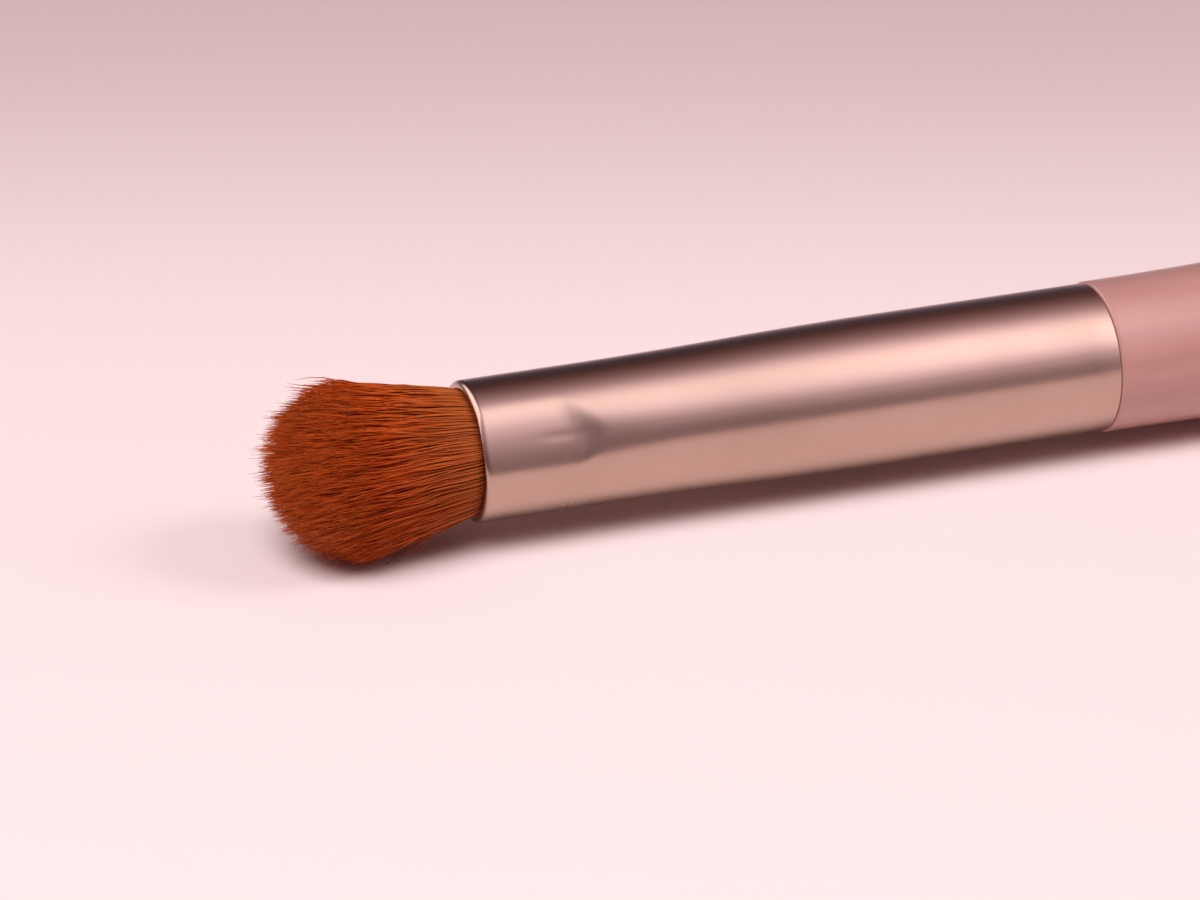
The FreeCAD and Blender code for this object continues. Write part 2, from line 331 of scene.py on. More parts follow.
@dataclass(frozen=True)
class SatinLacquer:
    """Birch, turned and dipped in pink satin lacquer.

    To the eye it is an even pink with a soft, wide gloss. The lacquer's skin has a faint orange
    peel, the grain under it shows as slight waves along the handle, and the coat is a little
    deeper in tone where it is thick.
    """

    colour: str = "#BA8780"
    deep: str = "#AE7970"
    roughness: float = 0.4
    roughness_change: float = 0.05
    coat: float = 0.85
    coat_roughness: float = 0.22
    cloud: float = 5.0
    peel: float = 0.9
    grain: float = 0.35
    grain_stretch: float = 14.0
    grain_share: float = 0.35
    relief: float = 0.05

    def material(self) -> bpy.types.Material:
        """Builds the material on Object coordinates.

        Returns:
            The material.
        """
        material, tree, shader = new_material("satin_lacquered_birch")
        set_inputs(shader, {"IOR": 1.46, "Coat Weight": self.coat, "Coat Roughness": self.coat_roughness})
        cloud = add_node(
            tree, "ShaderNodeTexNoise",
            Vector=millimetres(tree, (0.4, 1, 1)), Scale=1 / self.cloud, Detail=4.0,
        ).outputs["Fac"]
        grain = add_node(
            tree, "ShaderNodeTexNoise",
            Vector=millimetres(tree, (1 / self.grain_stretch, 1, 1)), Scale=1 / self.grain, Detail=3.0,
        ).outputs["Fac"]
        peel = add_node(
            tree, "ShaderNodeTexNoise",
            Vector=millimetres(tree, (1, 1, 1)), Scale=1 / self.peel, Detail=1.0,
        ).outputs["Fac"]
        mixed = add_node(
            tree, "ShaderNodeMix", {"data_type": "FLOAT"}, Factor=self.grain_share, at_2=cloud, at_3=grain
        ).outputs[0]
        colour = fill_ramp(
            add_node(tree, "ShaderNodeValToRGB", Fac=mixed), {0.35: self.colour, 0.7: self.deep}
        )
        rough = add_node(
            tree, "ShaderNodeMapRange", Value=cloud,
            To_Min=self.roughness - self.roughness_change,
            To_Max=self.roughness + self.roughness_change,
        ).outputs["Result"]
        waves = add_node(tree, "ShaderNodeBump", Height=grain, Strength=0.12, Distance=self.relief * MM)
        skin = add_node(
            tree, "ShaderNodeBump",
            Height=peel, Strength=0.15, Distance=self.relief * MM, Normal=waves.outputs["Normal"],
        )
        tree.links.new(colour, shader.inputs["Base Color"])
        tree.links.new(rough, shader.inputs["Roughness"])
        tree.links.new(skin.outputs["Normal"], shader.inputs["Normal"])
        return material


@dataclass(frozen=True)
class HiddenFinish:
    """Finish of a part inside the ferrule: waxed thread, cast resin or cured glue.

    Each has two close tones in soft clouds, as wax, bubbles and uneven curing give.
    """

    name: str
    colour: str
    shade: str
    roughness: float
    spot: float

    def material(self) -> bpy.types.Material:
        """Builds the material on Object coordinates.

        Returns:
            The material.
        """
        material, tree, shader = new_material(self.name)
        set_inputs(shader, {"Roughness": self.roughness})
        cloud = add_node(
            tree, "ShaderNodeTexNoise",
            Vector=millimetres(tree, (1, 1, 1)), Scale=1 / self.spot, Detail=3.0,
        ).outputs["Fac"]
        colour = fill_ramp(
            add_node(tree, "ShaderNodeValToRGB", Fac=cloud), {0.3: self.colour, 0.7: self.shade}
        )
        bump = add_node(tree, "ShaderNodeBump", Height=cloud, Strength=0.2, Distance=0.02 * MM)
        tree.links.new(colour, shader.inputs["Base Color"])
        tree.links.new(bump.outputs["Normal"], shader.inputs["Normal"])
        return material


class Inside(Enum):
    """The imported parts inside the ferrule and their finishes."""

    ROOT_BINDING = HiddenFinish("waxed_cotton_thread", "#E4DBC6", "#CDBF9F", 0.6, 0.3)
    ROOT_ADHESIVE = HiddenFinish("cast_epoxy_resin", "#D9B978", "#C7A160", 0.25, 1.2)
    TENON_ADHESIVE = HiddenFinish("cured_wood_glue", "#DDD0B4", "#CBB994", 0.35, 0.8)


@dataclass(frozen=True)
class Place:
    """Where the brush's axis and mouth are in the frame, in millimetres."""

    mouth: float
    height: float
    ferrule_length: float
    tuft_length: float
    butt: float

    @classmethod
    def from_frame(cls) -> "Place":
        """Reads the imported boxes.

        Returns:
            The place of the brush.
        """
        front, back = (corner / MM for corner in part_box("ferrule"))
        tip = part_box("bristle_tuft")[0] / MM
        low, high = (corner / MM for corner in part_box("handle"))
        return cls(
            mouth=front.x,
            height=(low.z + high.z) / 2,
            ferrule_length=back.x - front.x,
            tuft_length=front.x - tip.x,
            butt=high.x - front.x,
        )

    def metres(self, station: np.ndarray, across: np.ndarray, up: np.ndarray) -> np.ndarray:
        """Points of the frame from stations and places off the axis.

        Args:
            station: Distances behind the mouth.
            across: Places along Y.
            up: Heights over the axis.

        Returns:
            The points in metres, one in each row.
        """
        points = np.stack([station + self.mouth, across, up + self.height], -1)
        return points.reshape(-1, 3) * MM


def smooth_step(low: float, high: float, value: np.ndarray) -> np.ndarray:
    """Rises from 0 at low to 1 at high, as 3t^2 - 2t^3 with t the share of the way.

    Args:
        low: Where the rise starts.
        high: Where it ends.
        value: The places.

    Returns:
        The share at each place.
    """
    t = np.clip((value - low) / (high - low), 0, 1)
    return t * t * (3 - 2 * t)


def soft_least(first: np.ndarray, second: np.ndarray, reach: float) -> np.ndarray:
    """The smaller of two values, with a round joint where they differ by less than reach.

    With h = 1 - |first - second| / reach, held above 0, it is the smaller one less
    reach h^3 / 6, whose slope and curve both run on without a break where the joint ends.

    Args:
        first: One value.
        second: The other value.
        reach: The width of the joint.

    Returns:
        The softened smaller value.
    """
    h = np.maximum(1 - np.abs(first - second) / reach, 0)
    return np.minimum(first, second) - reach * h**3 / 6


def round_corner(before: tuple, corner: tuple, after: tuple, reach: float, count: int) -> np.ndarray:
    """The arc that rounds a corner of a profile, tangent to both its sides.

    The arc leaves each side at reach from the corner. Its centre lies on the bisector, and its
    radius is reach times the tangent of half the corner's inner angle.

    Args:
        before: A point on the side before the corner.
        corner: The corner.
        after: A point on the side after it.
        reach: The distance from the corner to each end of the arc.
        count: How many points the arc has.

    Returns:
        The arc's points, one in each row.
    """
    middle = np.array(corner, float)
    back = np.array(before, float) - middle
    ahead = np.array(after, float) - middle
    back /= np.linalg.norm(back)
    ahead /= np.linalg.norm(ahead)
    half = math.acos(float(back @ ahead)) / 2
    radius = reach * math.tan(half)
    bisector = (back + ahead) / np.linalg.norm(back + ahead)
    centre = middle + bisector * radius / math.sin(half)
    start = middle + back * reach - centre
    finish = middle + ahead * reach - centre
    sweep = math.pi - 2 * half
    share = np.linspace(0, 1, count)[:, None]
    turn = np.sin((1 - share) * sweep) * start + np.sin(share * sweep) * finish
    return centre + turn / math.sin(sweep)


def double_curve(start: tuple, end: tuple, turn_share: float, count: int) -> np.ndarray:
    """Two arcs that leave start and reach end parallel to the axis and share a tangent.

    With b twice the slope angle of the straight line between the ends, each arc's radius is its
    share of the length over sin b.

    Args:
        start: The first station and radius.
        end: The last station and radius.
        turn_share: The share of the length where the arcs meet.
        count: How many points the curve has.

    Returns:
        The curve's points, one in each row.
    """
    length = end[0] - start[0]
    bend = 2 * math.atan2(end[1] - start[1], length)
    first = length * turn_share / math.sin(bend)
    second = length * (1 - turn_share) / math.sin(bend)
    x = np.linspace(0, length, count)
    turn = length * turn_share
    hollow = start[1] + first - np.sqrt(np.maximum(first**2 - np.minimum(x, turn) ** 2, 0))
    left = np.minimum(length - x, length - turn)
    full = end[1] - second + np.sqrt(np.maximum(second**2 - left**2, 0))
    return np.stack([x + start[0], np.where(x < turn, hollow, full)], 1)


def straight(start: tuple, end: tuple, count: int) -> np.ndarray:
    """Evenly spaced points on a straight line, both ends included.

    Args:
        start: The first station and radius.
        end: The last station and radius.
        count: How many points there are.

    Returns:
        The points, one in each row.
    """
    return np.linspace(start, end, count)


def joined(parts: list[np.ndarray]) -> np.ndarray:
    """One profile from its parts, without the points that two neighbours share.

    Args:
        parts: The parts in order.

    Returns:
        The profile's points, one in each row.
    """
    profile = np.concatenate(parts)
    apart = np.linalg.norm(np.diff(profile, axis=0), axis=1) > SAME_POINT
    return profile[np.concatenate([[True], apart])]


def ring_faces(rings: int, columns: int, loop: bool) -> np.ndarray:
    """Faces between rings of points, each ring with the same number of columns.

    Face (i, j) joins points j and j + 1 of ring i and of ring i + 1, so its normal is the way
    along the rings crossed with the way round them. The last column joins the first.

    Args:
        rings: How many rings there are.
        columns: How many points each ring has.
        loop: Whether the last ring joins the first.

    Returns:
        The faces, four point numbers in each row.
    """
    ring, column = np.meshgrid(np.arange(rings - (not loop)), np.arange(columns), indexing="ij")
    after = (ring + 1) % rings * columns
    beside = (column + 1) % columns
    ring = ring * columns
    faces = np.stack([ring + column, after + column, after + beside, ring + beside], -1)
    return faces.reshape(-1, 4)


def new_piece(
    name: str, points: np.ndarray, faces: list[np.ndarray], flat_map: np.ndarray | None = None
) -> bpy.types.Object:
    """Makes a smooth-shaded piece from whole arrays of points and faces.

    Args:
        name: The piece's name.
        points: The points in metres, one in each row.
        faces: Arrays of faces, where each array's faces have the same number of corners.
        flat_map: The place on the piece's own map of each corner of each face, in their order.

    Returns:
        The object, which stands at the origin.
    """
    corners = np.concatenate([f.ravel() for f in faces]).astype(np.int32)
    counts = np.concatenate([np.full(len(f), f.shape[1]) for f in faces]).astype(np.int32)
    mesh = bpy.data.meshes.new(name)
    mesh.vertices.add(len(points))
    mesh.vertices.foreach_set("co", points.astype(np.float32).ravel())
    mesh.loops.add(len(corners))
    mesh.loops.foreach_set("vertex_index", corners)
    mesh.polygons.add(len(counts))
    starts = np.concatenate([[0], np.cumsum(counts)[:-1]]).astype(np.int32)
    mesh.polygons.foreach_set("loop_start", starts)
    mesh.polygons.foreach_set("use_smooth", np.ones(len(counts), bool))
    mesh.update(calc_edges=True)
    if flat_map is not None:
        layer = mesh.uv_layers.new(name=BAKE_MAP)
        layer.uv.foreach_set("vector", flat_map.astype(np.float32).ravel())
    mesh.validate()
    piece = bpy.data.objects.new(name, mesh)
    bpy.context.scene.collection.objects.link(piece)
    return piece


def hand_over(
    piece: bpy.types.Object, nodes: tuple[str, ...], finish: bpy.types.Material
) -> None:
    """Dresses a piece, puts it on the brush's body and reports it.

    Args:
        piece: The piece.
        nodes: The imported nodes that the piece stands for.
        finish: Its material.
    """
    piece.data.materials.append(finish)
    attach(piece, "root")
    if nodes:
        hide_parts(*nodes)
    triangles = len(piece.data.loops) - 2 * len(piece.data.polygons)
    log.info("%s: %d triangles, %s", piece.name, triangles, finish.name)


@dataclass(frozen=True)
class Stray:
    """A filament that stands off the bundle.

    It starts at an angle in degrees and at a share of the radius, is as long as length in front
    of the mouth, and has moved by across and up at its tip, as the square of the way out.
    """

    angle: float
    share: float
    length: float
    across: float
    up: float


@dataclass
class Filaments:
    """What tells one filament from the next: one row or number for each in every array."""

    start: np.ndarray
    lock: np.ndarray
    wisp: np.ndarray
    lock_pull: np.ndarray
    wisp_pull: np.ndarray
    sink: np.ndarray
    length: np.ndarray
    pitch: np.ndarray
    phase: np.ndarray
    swing: np.ndarray
    lean: np.ndarray
    drift: np.ndarray
    tone: np.ndarray

    def take(self, chosen: np.ndarray) -> "Filaments":
        """Some of the filaments, where chosen is true for each that is kept."""
        return Filaments(*(getattr(self, part.name)[chosen] for part in fields(self)))


@dataclass(frozen=True)
class Layer:
    """Filaments between two shares of the radius, and their rings in front of the mouth."""

    name: str
    inner: float
    outer: float
    rings: int
    near_side: bool | None = None


@dataclass
class Tuft:
    """Bundle of filaments that fans out of the mouth and ends in a dome.

    A rise is two distances in front of the mouth, between which an effect grows to its full
    size. A scatter is a standard deviation in millimetres, or as a share where it says so.
    """

    place: Place
    finish: FilamentFinish = field(default_factory=FilamentFinish)
    seed: int = 7
    filaments: int = 8000
    outward: float = 0.45
    place_jitter: float = 0.5
    filament_radius: float = 0.036
    dome_radius: float = 4.2
    mouth_radius: float = 2.9
    neck_radius: float = 2.78
    waist_radius: float = 2.43
    waist_start: float = 3.5
    waist_end: float = 5.3
    root_station: float = 7.9
    bulge: float = 0.1
    bulge_length: float = 0.25
    fan_slope: float = 0.16
    fan_bend: float = -0.004
    locks: int = 260
    lock_jitter: float = 0.3
    lock_pull: float = 0.22
    lock_pulls: tuple[float, float] = (0.2, 1.0)
    lock_rise: tuple[float, float] = (0.8, 8.0)
    lock_sink: float = 0.012
    wisps: int = 1900
    wisp_jitter: float = 0.35
    wisp_pull: float = 0.6
    wisp_pulls: tuple[float, float] = (0.3, 1.0)
    wisp_rise: tuple[float, float] = (1.2, 7.0)
    wisp_tones: int = 4
    wisp_swing: float = 0.05
    wisp_waves: tuple[float, float] = (2.6, 6.0)
    own_swing: float = 0.03
    own_waves: tuple[float, float] = (2.4, 5.0)
    swings: tuple[float, float] = (0.3, 1.7)
    wave_rise: tuple[float, float] = (0.1, 3.5)
    lean: float = 0.014
    wander: float = 0.022
    wander_share: float = 0.12
    lift: float = 0.1
    sag: float = 0.11
    sag_rise: tuple[float, float] = (0.5, 6.0)
    wisp_length_scatter: float = 0.09
    own_length_scatter: float = 0.08
    longer: float = 0.1
    shorter: float = 0.24
    low_trim: float = 0.95
    top_trim: float = 0.3
    top_fringe: float = 1.8
    tip_setback: float = 0.14
    tip_tilt: float = -0.05
    parting_depth: float = 0.05
    parting_width: float = 0.4
    parting_rise: tuple[float, float] = (2.0, 5.5)
    parting_turns: tuple[float, ...] = (0.03, 0.16, 0.27, 0.4, 0.52, 0.64, 0.78, 0.89)
    ring_crowding: float = 1.15
    tip_taper: float = 2.2
    tip_share: float = 0.15
    widest: float = 4.4
    sides: int = 3
    floor_gap: float = 0.03
    layers: tuple[Layer, ...] = (
        Layer("tuft_core", -1.0, 0.6, 6),
        Layer("tuft_middle", 0.6, 0.84, 7),
        Layer("tuft_outer_near", 0.84, 2.0, 12, True),
        Layer("tuft_outer_far", 0.84, 2.0, 12, False),
    )
    strays: tuple[Stray, ...] = (
        Stray(112.0, 0.96, 7.5, 0.0, 0.12),
        Stray(118.0, 0.95, 7.2, 0.05, 0.1),
        Stray(106.0, 0.96, 7.0, 0.0, 0.08),
        Stray(100.0, 0.95, 7.4, 0.0, 0.12),
        Stray(-60.0, 1.0, 3.9, 0.0, -0.75),
        Stray(-66.0, 1.0, 4.6, 0.0, -0.55),
        Stray(-54.0, 1.0, 3.2, -0.15, -0.55),
    )

    def envelope(self, station: np.ndarray) -> np.ndarray:
        """Radius of the bundle at a station.

        In front of the mouth, at a distance t, it is the mouth's radius, plus a small bulge that
        rises as 1 - exp(-t / bulge length), plus slope t - bend t^2. Behind the mouth it falls to
        the neck's radius and dips to the waist under the thread.

        Args:
            station: The stations.

        Returns:
            The radius at each of them.
        """
        out = np.maximum(-station, 0)
        fan = self.fan_slope * out - self.fan_bend * out**2
        bulge = self.bulge * (1 - np.exp(-out / self.bulge_length))
        neck = (self.neck_radius - self.mouth_radius) * smooth_step(0, 1.5, station)
        waist = smooth_step(self.waist_start - 0.5, self.waist_start, station)
        waist = waist - smooth_step(self.waist_end, self.waist_end + 0.5, station)
        return self.mouth_radius + fan + bulge + neck + (self.waist_radius - self.neck_radius) * waist

    def reach(self, share: np.ndarray) -> np.ndarray:
        """How far in front of the mouth a filament meets the dome.

        The dome is a sphere whose tip is at the tuft's length. Halving finds t where the square
        of share times the bundle's radius at t, plus the square of t less the centre's distance,
        is the square of the dome's radius.

        Args:
            share: The filaments' places from 0 on the axis to 1 on the outside.

        Returns:
            The distance of each.
        """
        centre = self.place.tuft_length - self.dome_radius
        low = np.full_like(share, centre)
        high = np.full_like(share, self.place.tuft_length)
        for _ in range(24):
            middle = (low + high) / 2
            off = (share * self.envelope(-middle)) ** 2 + (middle - centre) ** 2
            inside = off < self.dome_radius**2
            low = np.where(inside, middle, low)
            high = np.where(inside, high, middle)
        return low

    def spread(self, count: int, chance: np.random.Generator, jitter: float) -> np.ndarray:
        """Points spread over the unit disc, a little denser outside, each moved at random.

        Point i of n lies at i times the golden angle and at a radius that is (i + 1/2) / n to
        the power of outward, where a half would be even.

        Args:
            count: How many points there are.
            chance: The random numbers.
            jitter: The move, as a share of the points' spacing.

        Returns:
            The points, one in each row.
        """
        turn = np.arange(count) * math.pi * (3 - math.sqrt(5)) + chance.uniform(0, FULL_TURN)
        radius = ((np.arange(count) + 0.5) / count) ** self.outward
        points = np.stack([radius * np.cos(turn), radius * np.sin(turn)], 1)
        return points + chance.normal(0, jitter * math.sqrt(math.pi / count), (count, 2))

    def nearest(self, points: np.ndarray, centres: np.ndarray) -> np.ndarray:
        """Number of the centre nearest to each point.

        Args:
            points: The points, one in each row.
            centres: The centres, one in each row.

        Returns:
            One number for each point.
        """
        apart = (points**2).sum(1)[:, None] - 2 * points @ centres.T + (centres**2).sum(1)
        return apart.argmin(1)

    def bundle(self, chance: np.random.Generator) -> Filaments:
        """Draws every filament's place, lock, wisp, length, wave and tone.

        Locks and wisps are the cells round two spreads of centres. The length is where the
        filament meets the dome, trimmed more towards the lower side, with an amount of its own
        and one that it shares with its wisp. A few are left longer, which shows as a fringe,
        most of all on top, and more are shorter.

        Args:
            chance: The random numbers.

        Returns:
            The filaments, with the strays last.
        """
        disc = self.spread(self.filaments, chance, self.place_jitter)
        turn = np.radians([stray.angle for stray in self.strays])
        share = np.array([stray.share for stray in self.strays])
        disc = np.concatenate([disc, np.stack([-share * np.cos(turn), share * np.sin(turn)], 1)])
        count = len(disc)
        loose = np.arange(count) >= self.filaments
        size = np.linalg.norm(disc, axis=1)
        disc = disc / np.maximum(size, 1)[:, None]
        lock_centres = self.spread(self.locks, chance, self.lock_jitter)
        wisp_centres = self.spread(self.wisps, chance, self.wisp_jitter)
        lock = self.nearest(disc, lock_centres)
        wisp = self.nearest(disc, wisp_centres)
        length = self.reach(np.minimum(size, 1)) - self.tip_setback + self.tip_tilt * disc[:, 1]
        length -= np.where(disc[:, 1] < 0, self.low_trim, self.top_trim) * disc[:, 1] ** 2
        length += chance.normal(0, self.wisp_length_scatter, self.wisps)[wisp]
        length += chance.normal(0, self.own_length_scatter, count)
        upper = 1 + self.top_fringe * np.maximum(disc[:, 1], 0) ** 2
        length += chance.exponential(self.longer, count) * upper
        length -= chance.exponential(self.shorter, count)
        length[loose] = [stray.length for stray in self.strays]
        drift = np.zeros((count, 2))
        drift[loose] = [(stray.across, stray.up) for stray in self.strays]
        lean = chance.normal(0, self.lean, (count, 2))
        wander = chance.random(count) < self.wander_share
        lean[wander] = chance.normal(0, self.wander, (int(wander.sum()), 2))
        shared_pitch = chance.uniform(*self.wisp_waves, self.wisps)[wisp]
        pitch = np.stack([shared_pitch, chance.uniform(*self.own_waves, count)], 1)
        shared_phase = chance.uniform(0, FULL_TURN, (self.wisps, 2))[wisp]
        phase = np.concatenate([shared_phase, chance.uniform(0, FULL_TURN, (count, 2))], 1)
        shared_swing = chance.uniform(*self.swings, self.wisps)[wisp]
        swing = np.stack([shared_swing, chance.uniform(*self.swings, count)], 1)
        tone = wisp * (self.wisp_tones + 1) + chance.integers(0, self.wisp_tones, count)
        return Filaments(
            start=disc,
            lock=lock_centres[lock],
            wisp=wisp_centres[wisp],
            lock_pull=chance.uniform(*self.lock_pulls, self.locks)[lock] * self.lock_pull * ~loose,
            wisp_pull=chance.uniform(*self.wisp_pulls, self.wisps)[wisp] * self.wisp_pull * ~loose,
            sink=chance.normal(0, self.lock_sink, self.locks)[lock],
            length=length,
            pitch=pitch,
            phase=phase,
            swing=swing,
            lean=lean,
            drift=drift,
            tone=tone % self.finish.strips,
        )

    def lines(self, hairs: Filaments, rings: int) -> tuple[np.ndarray, np.ndarray, np.ndarray]:
        """The centre lines of some filaments.

        A filament starts on the disc and moves out with the bundle's radius. Two pulls draw it
        towards the middle of its lock and of its wisp, more towards the tip. Over that lie two
        waves, its wisp's and its own, a lean that grows with the way out and, for a stray, a
        drift that grows with its square. Nothing goes further from the axis than the widest
        radius. The bundle's upper side lifts a little towards its tip and its lower side sags,
        where the table flattens it. Partings draw it in between the main locks.

        Args:
            hairs: The filaments.
            rings: How many rings each has in front of the mouth.

        Returns:
            The stations and the places across and up, with one row for each filament and one
            column for each ring.
        """
        inside = np.array([self.root_station, self.waist_end, self.waist_start, 0.05])
        outside = np.linspace(0, 1, rings + 1)[1:] ** self.ring_crowding
        inside = np.broadcast_to(inside, (len(hairs.length), len(inside)))
        station = np.concatenate([inside, -hairs.length[:, None] * outside], 1)
        out = np.maximum(-station, 0)[..., None]
        grow = smooth_step(*self.lock_rise, out)
        to_lock = hairs.lock_pull[:, None, None] * grow
        to_wisp = hairs.wisp_pull[:, None, None] * smooth_step(*self.wisp_rise, out)
        flat = hairs.start[:, None] * (1 - to_wisp) + hairs.wisp[:, None] * to_wisp
        flat = flat * (1 - to_lock) + hairs.lock[:, None] * to_lock
        off = flat * (1 + hairs.sink[:, None, None] * grow) * self.envelope(station)[..., None]
        wave = []
        for i, amount in enumerate((self.wisp_swing, self.own_swing)):
            pitch, swing = (part[:, None, i : i + 1] for part in (hairs.pitch, hairs.swing))
            phase = hairs.phase[:, None, 2 * i : 2 * i + 2]
            wave.append(np.sin(2 * math.pi * out / pitch + phase) * swing * amount)
        off += (wave[0] + wave[1]) * smooth_step(*self.wave_rise, out) + hairs.lean[:, None] * out
        off += hairs.drift[:, None] * (out / hairs.length[:, None, None]) ** 2
        off[..., 1] += self.lift * (out[..., 0] / self.place.tuft_length) ** 2
        off *= 1 - self.parting(off)[..., None] * smooth_step(*self.parting_rise, out)
        size = np.linalg.norm(off, axis=-1, keepdims=True)
        off *= np.minimum(1, self.widest / np.maximum(size, 1e-6))
        across, up = off[..., 0], off[..., 1]
        sink = self.sag * smooth_step(*self.sag_rise, out[..., 0])
        return station, across, up + np.minimum(up, 0) * sink

    def parting(self, off: np.ndarray) -> np.ndarray:
        """Share by which the partings between the main locks draw points in to the axis.

        Each parting runs along the tuft at its own turn, counted from the top towards the
        viewer. Across it the draw is a bell, and the outside is drawn in most, as the fourth
        power of the distance from the axis.

        Args:
            off: Places across and up, in the last axis.

        Returns:
            The share for each point.
        """
        size = np.linalg.norm(off, axis=-1)
        draw = np.zeros_like(size)
        for turn in 2 * np.pi * np.array(self.parting_turns):
            beside = off[..., 0] * np.cos(turn) + off[..., 1] * np.sin(turn)
            ahead = off[..., 1] * np.cos(turn) - off[..., 0] * np.sin(turn)
            draw += np.exp(-((beside / self.parting_width) ** 2)) * (ahead > 0)
        return draw * self.parting_depth / self.dome_radius * np.minimum(size / self.dome_radius, 1) ** 4

    def tubes(self, station: np.ndarray, across: np.ndarray, up: np.ndarray) -> np.ndarray:
        """Points of the tubes round the centre lines.

        Ring k of a filament is a triangle round its line. Its radius is even up to the taper,
        then falls as the 0.7th power of the distance left to the tip.

        Args:
            station: The stations, one row for each filament.
            across: The places across.
            up: The places up.

        Returns:
            The points in metres, ring after ring and filament after filament.
        """
        left = station - station[:, -1:]
        taper = np.clip(left / self.tip_taper, 0, 1) ** 0.7
        radius = self.filament_radius * (self.tip_share + (1 - self.tip_share) * taper)
        turn = 2 * math.pi * np.arange(self.sides) / self.sides
        turn = turn + np.arange(len(station))[:, None, None] * 2.4
        y = across[..., None] + radius[..., None] * np.cos(turn)
        z = up[..., None] + radius[..., None] * np.sin(turn)
        z = np.maximum(z, self.floor_gap - self.place.height)
        x = np.broadcast_to(station[..., None], y.shape)
        return self.place.metres(x, y, z)

    def strip_map(self, station: np.ndarray, tone: np.ndarray) -> np.ndarray:
        """The map of the tubes: across, the strip of a filament's tone, and upwards, its length.

        The way up is 0 at the root, a half at the mouth and 1 at the tip, so the finish is a
        function of the map alone, and filaments of one tone can share a strip.

        Args:
            station: The stations, one row for each filament.
            tone: The strip of each filament.

        Returns:
            The place of each corner, for the walls, then the root ends, then the tips.
        """
        behind = 0.5 - 0.5 * station / self.root_station
        along = np.where(station > 0, behind, 0.5 + 0.5 * station / station[:, -1:])
        side = np.arange(self.sides)
        corner_side = np.stack([side, side, side + 1, side + 1], 1)
        high = np.stack([along[:, :-1], along[:, 1:], along[:, 1:], along[:, :-1]], -1)
        across = (tone[:, None, None, None] + 0.1 + 0.8 * corner_side / self.sides) / self.finish.strips
        shape = (*high.shape[:2], self.sides, 4)
        walls = np.stack(np.broadcast_arrays(across, high[:, :, None]), -1)
        walls = np.broadcast_to(walls, (*shape, 2)).reshape(-1, 2)
        end = (tone[:, None] + 0.1 + 0.8 * side / self.sides) / self.finish.strips
        root = np.stack([end, np.zeros_like(end)], -1).reshape(-1, 2)
        tip = np.stack([end[:, ::-1], np.ones_like(end)], -1).reshape(-1, 2)
        return np.concatenate([walls, root, tip])

    def build(self) -> list[bpy.types.Object]:
        """Makes the tuft in layers, each well under the limit for one piece, and dresses it.

        Returns:
            The pieces.
        """
        hairs = self.bundle(np.random.default_rng(self.seed))
        share = np.linalg.norm(hairs.start, axis=1)
        finish = self.finish.material()
        pieces = []
        for layer in self.layers:
            held = (share > layer.inner) & (share <= layer.outer)
            if layer.near_side is not None:
                held &= (hairs.start[:, 0] < 0) == layer.near_side
            some = hairs.take(held)
            station, across, up = self.lines(some, layer.rings)
            count, rings = station.shape
            first = np.arange(count)[:, None] * rings * self.sides
            walls = (first[..., None] + ring_faces(rings, self.sides, False)).reshape(-1, 4)
            root = first + np.arange(self.sides)
            tip = first + rings * self.sides - 1 - np.arange(self.sides)
            piece = new_piece(
                layer.name, self.tubes(station, across, up),
                [walls, root, tip], self.strip_map(station, some.tone),
            )
            hand_over(piece, ("bristle_tuft",), finish)
            pieces.append(piece)
        return pieces


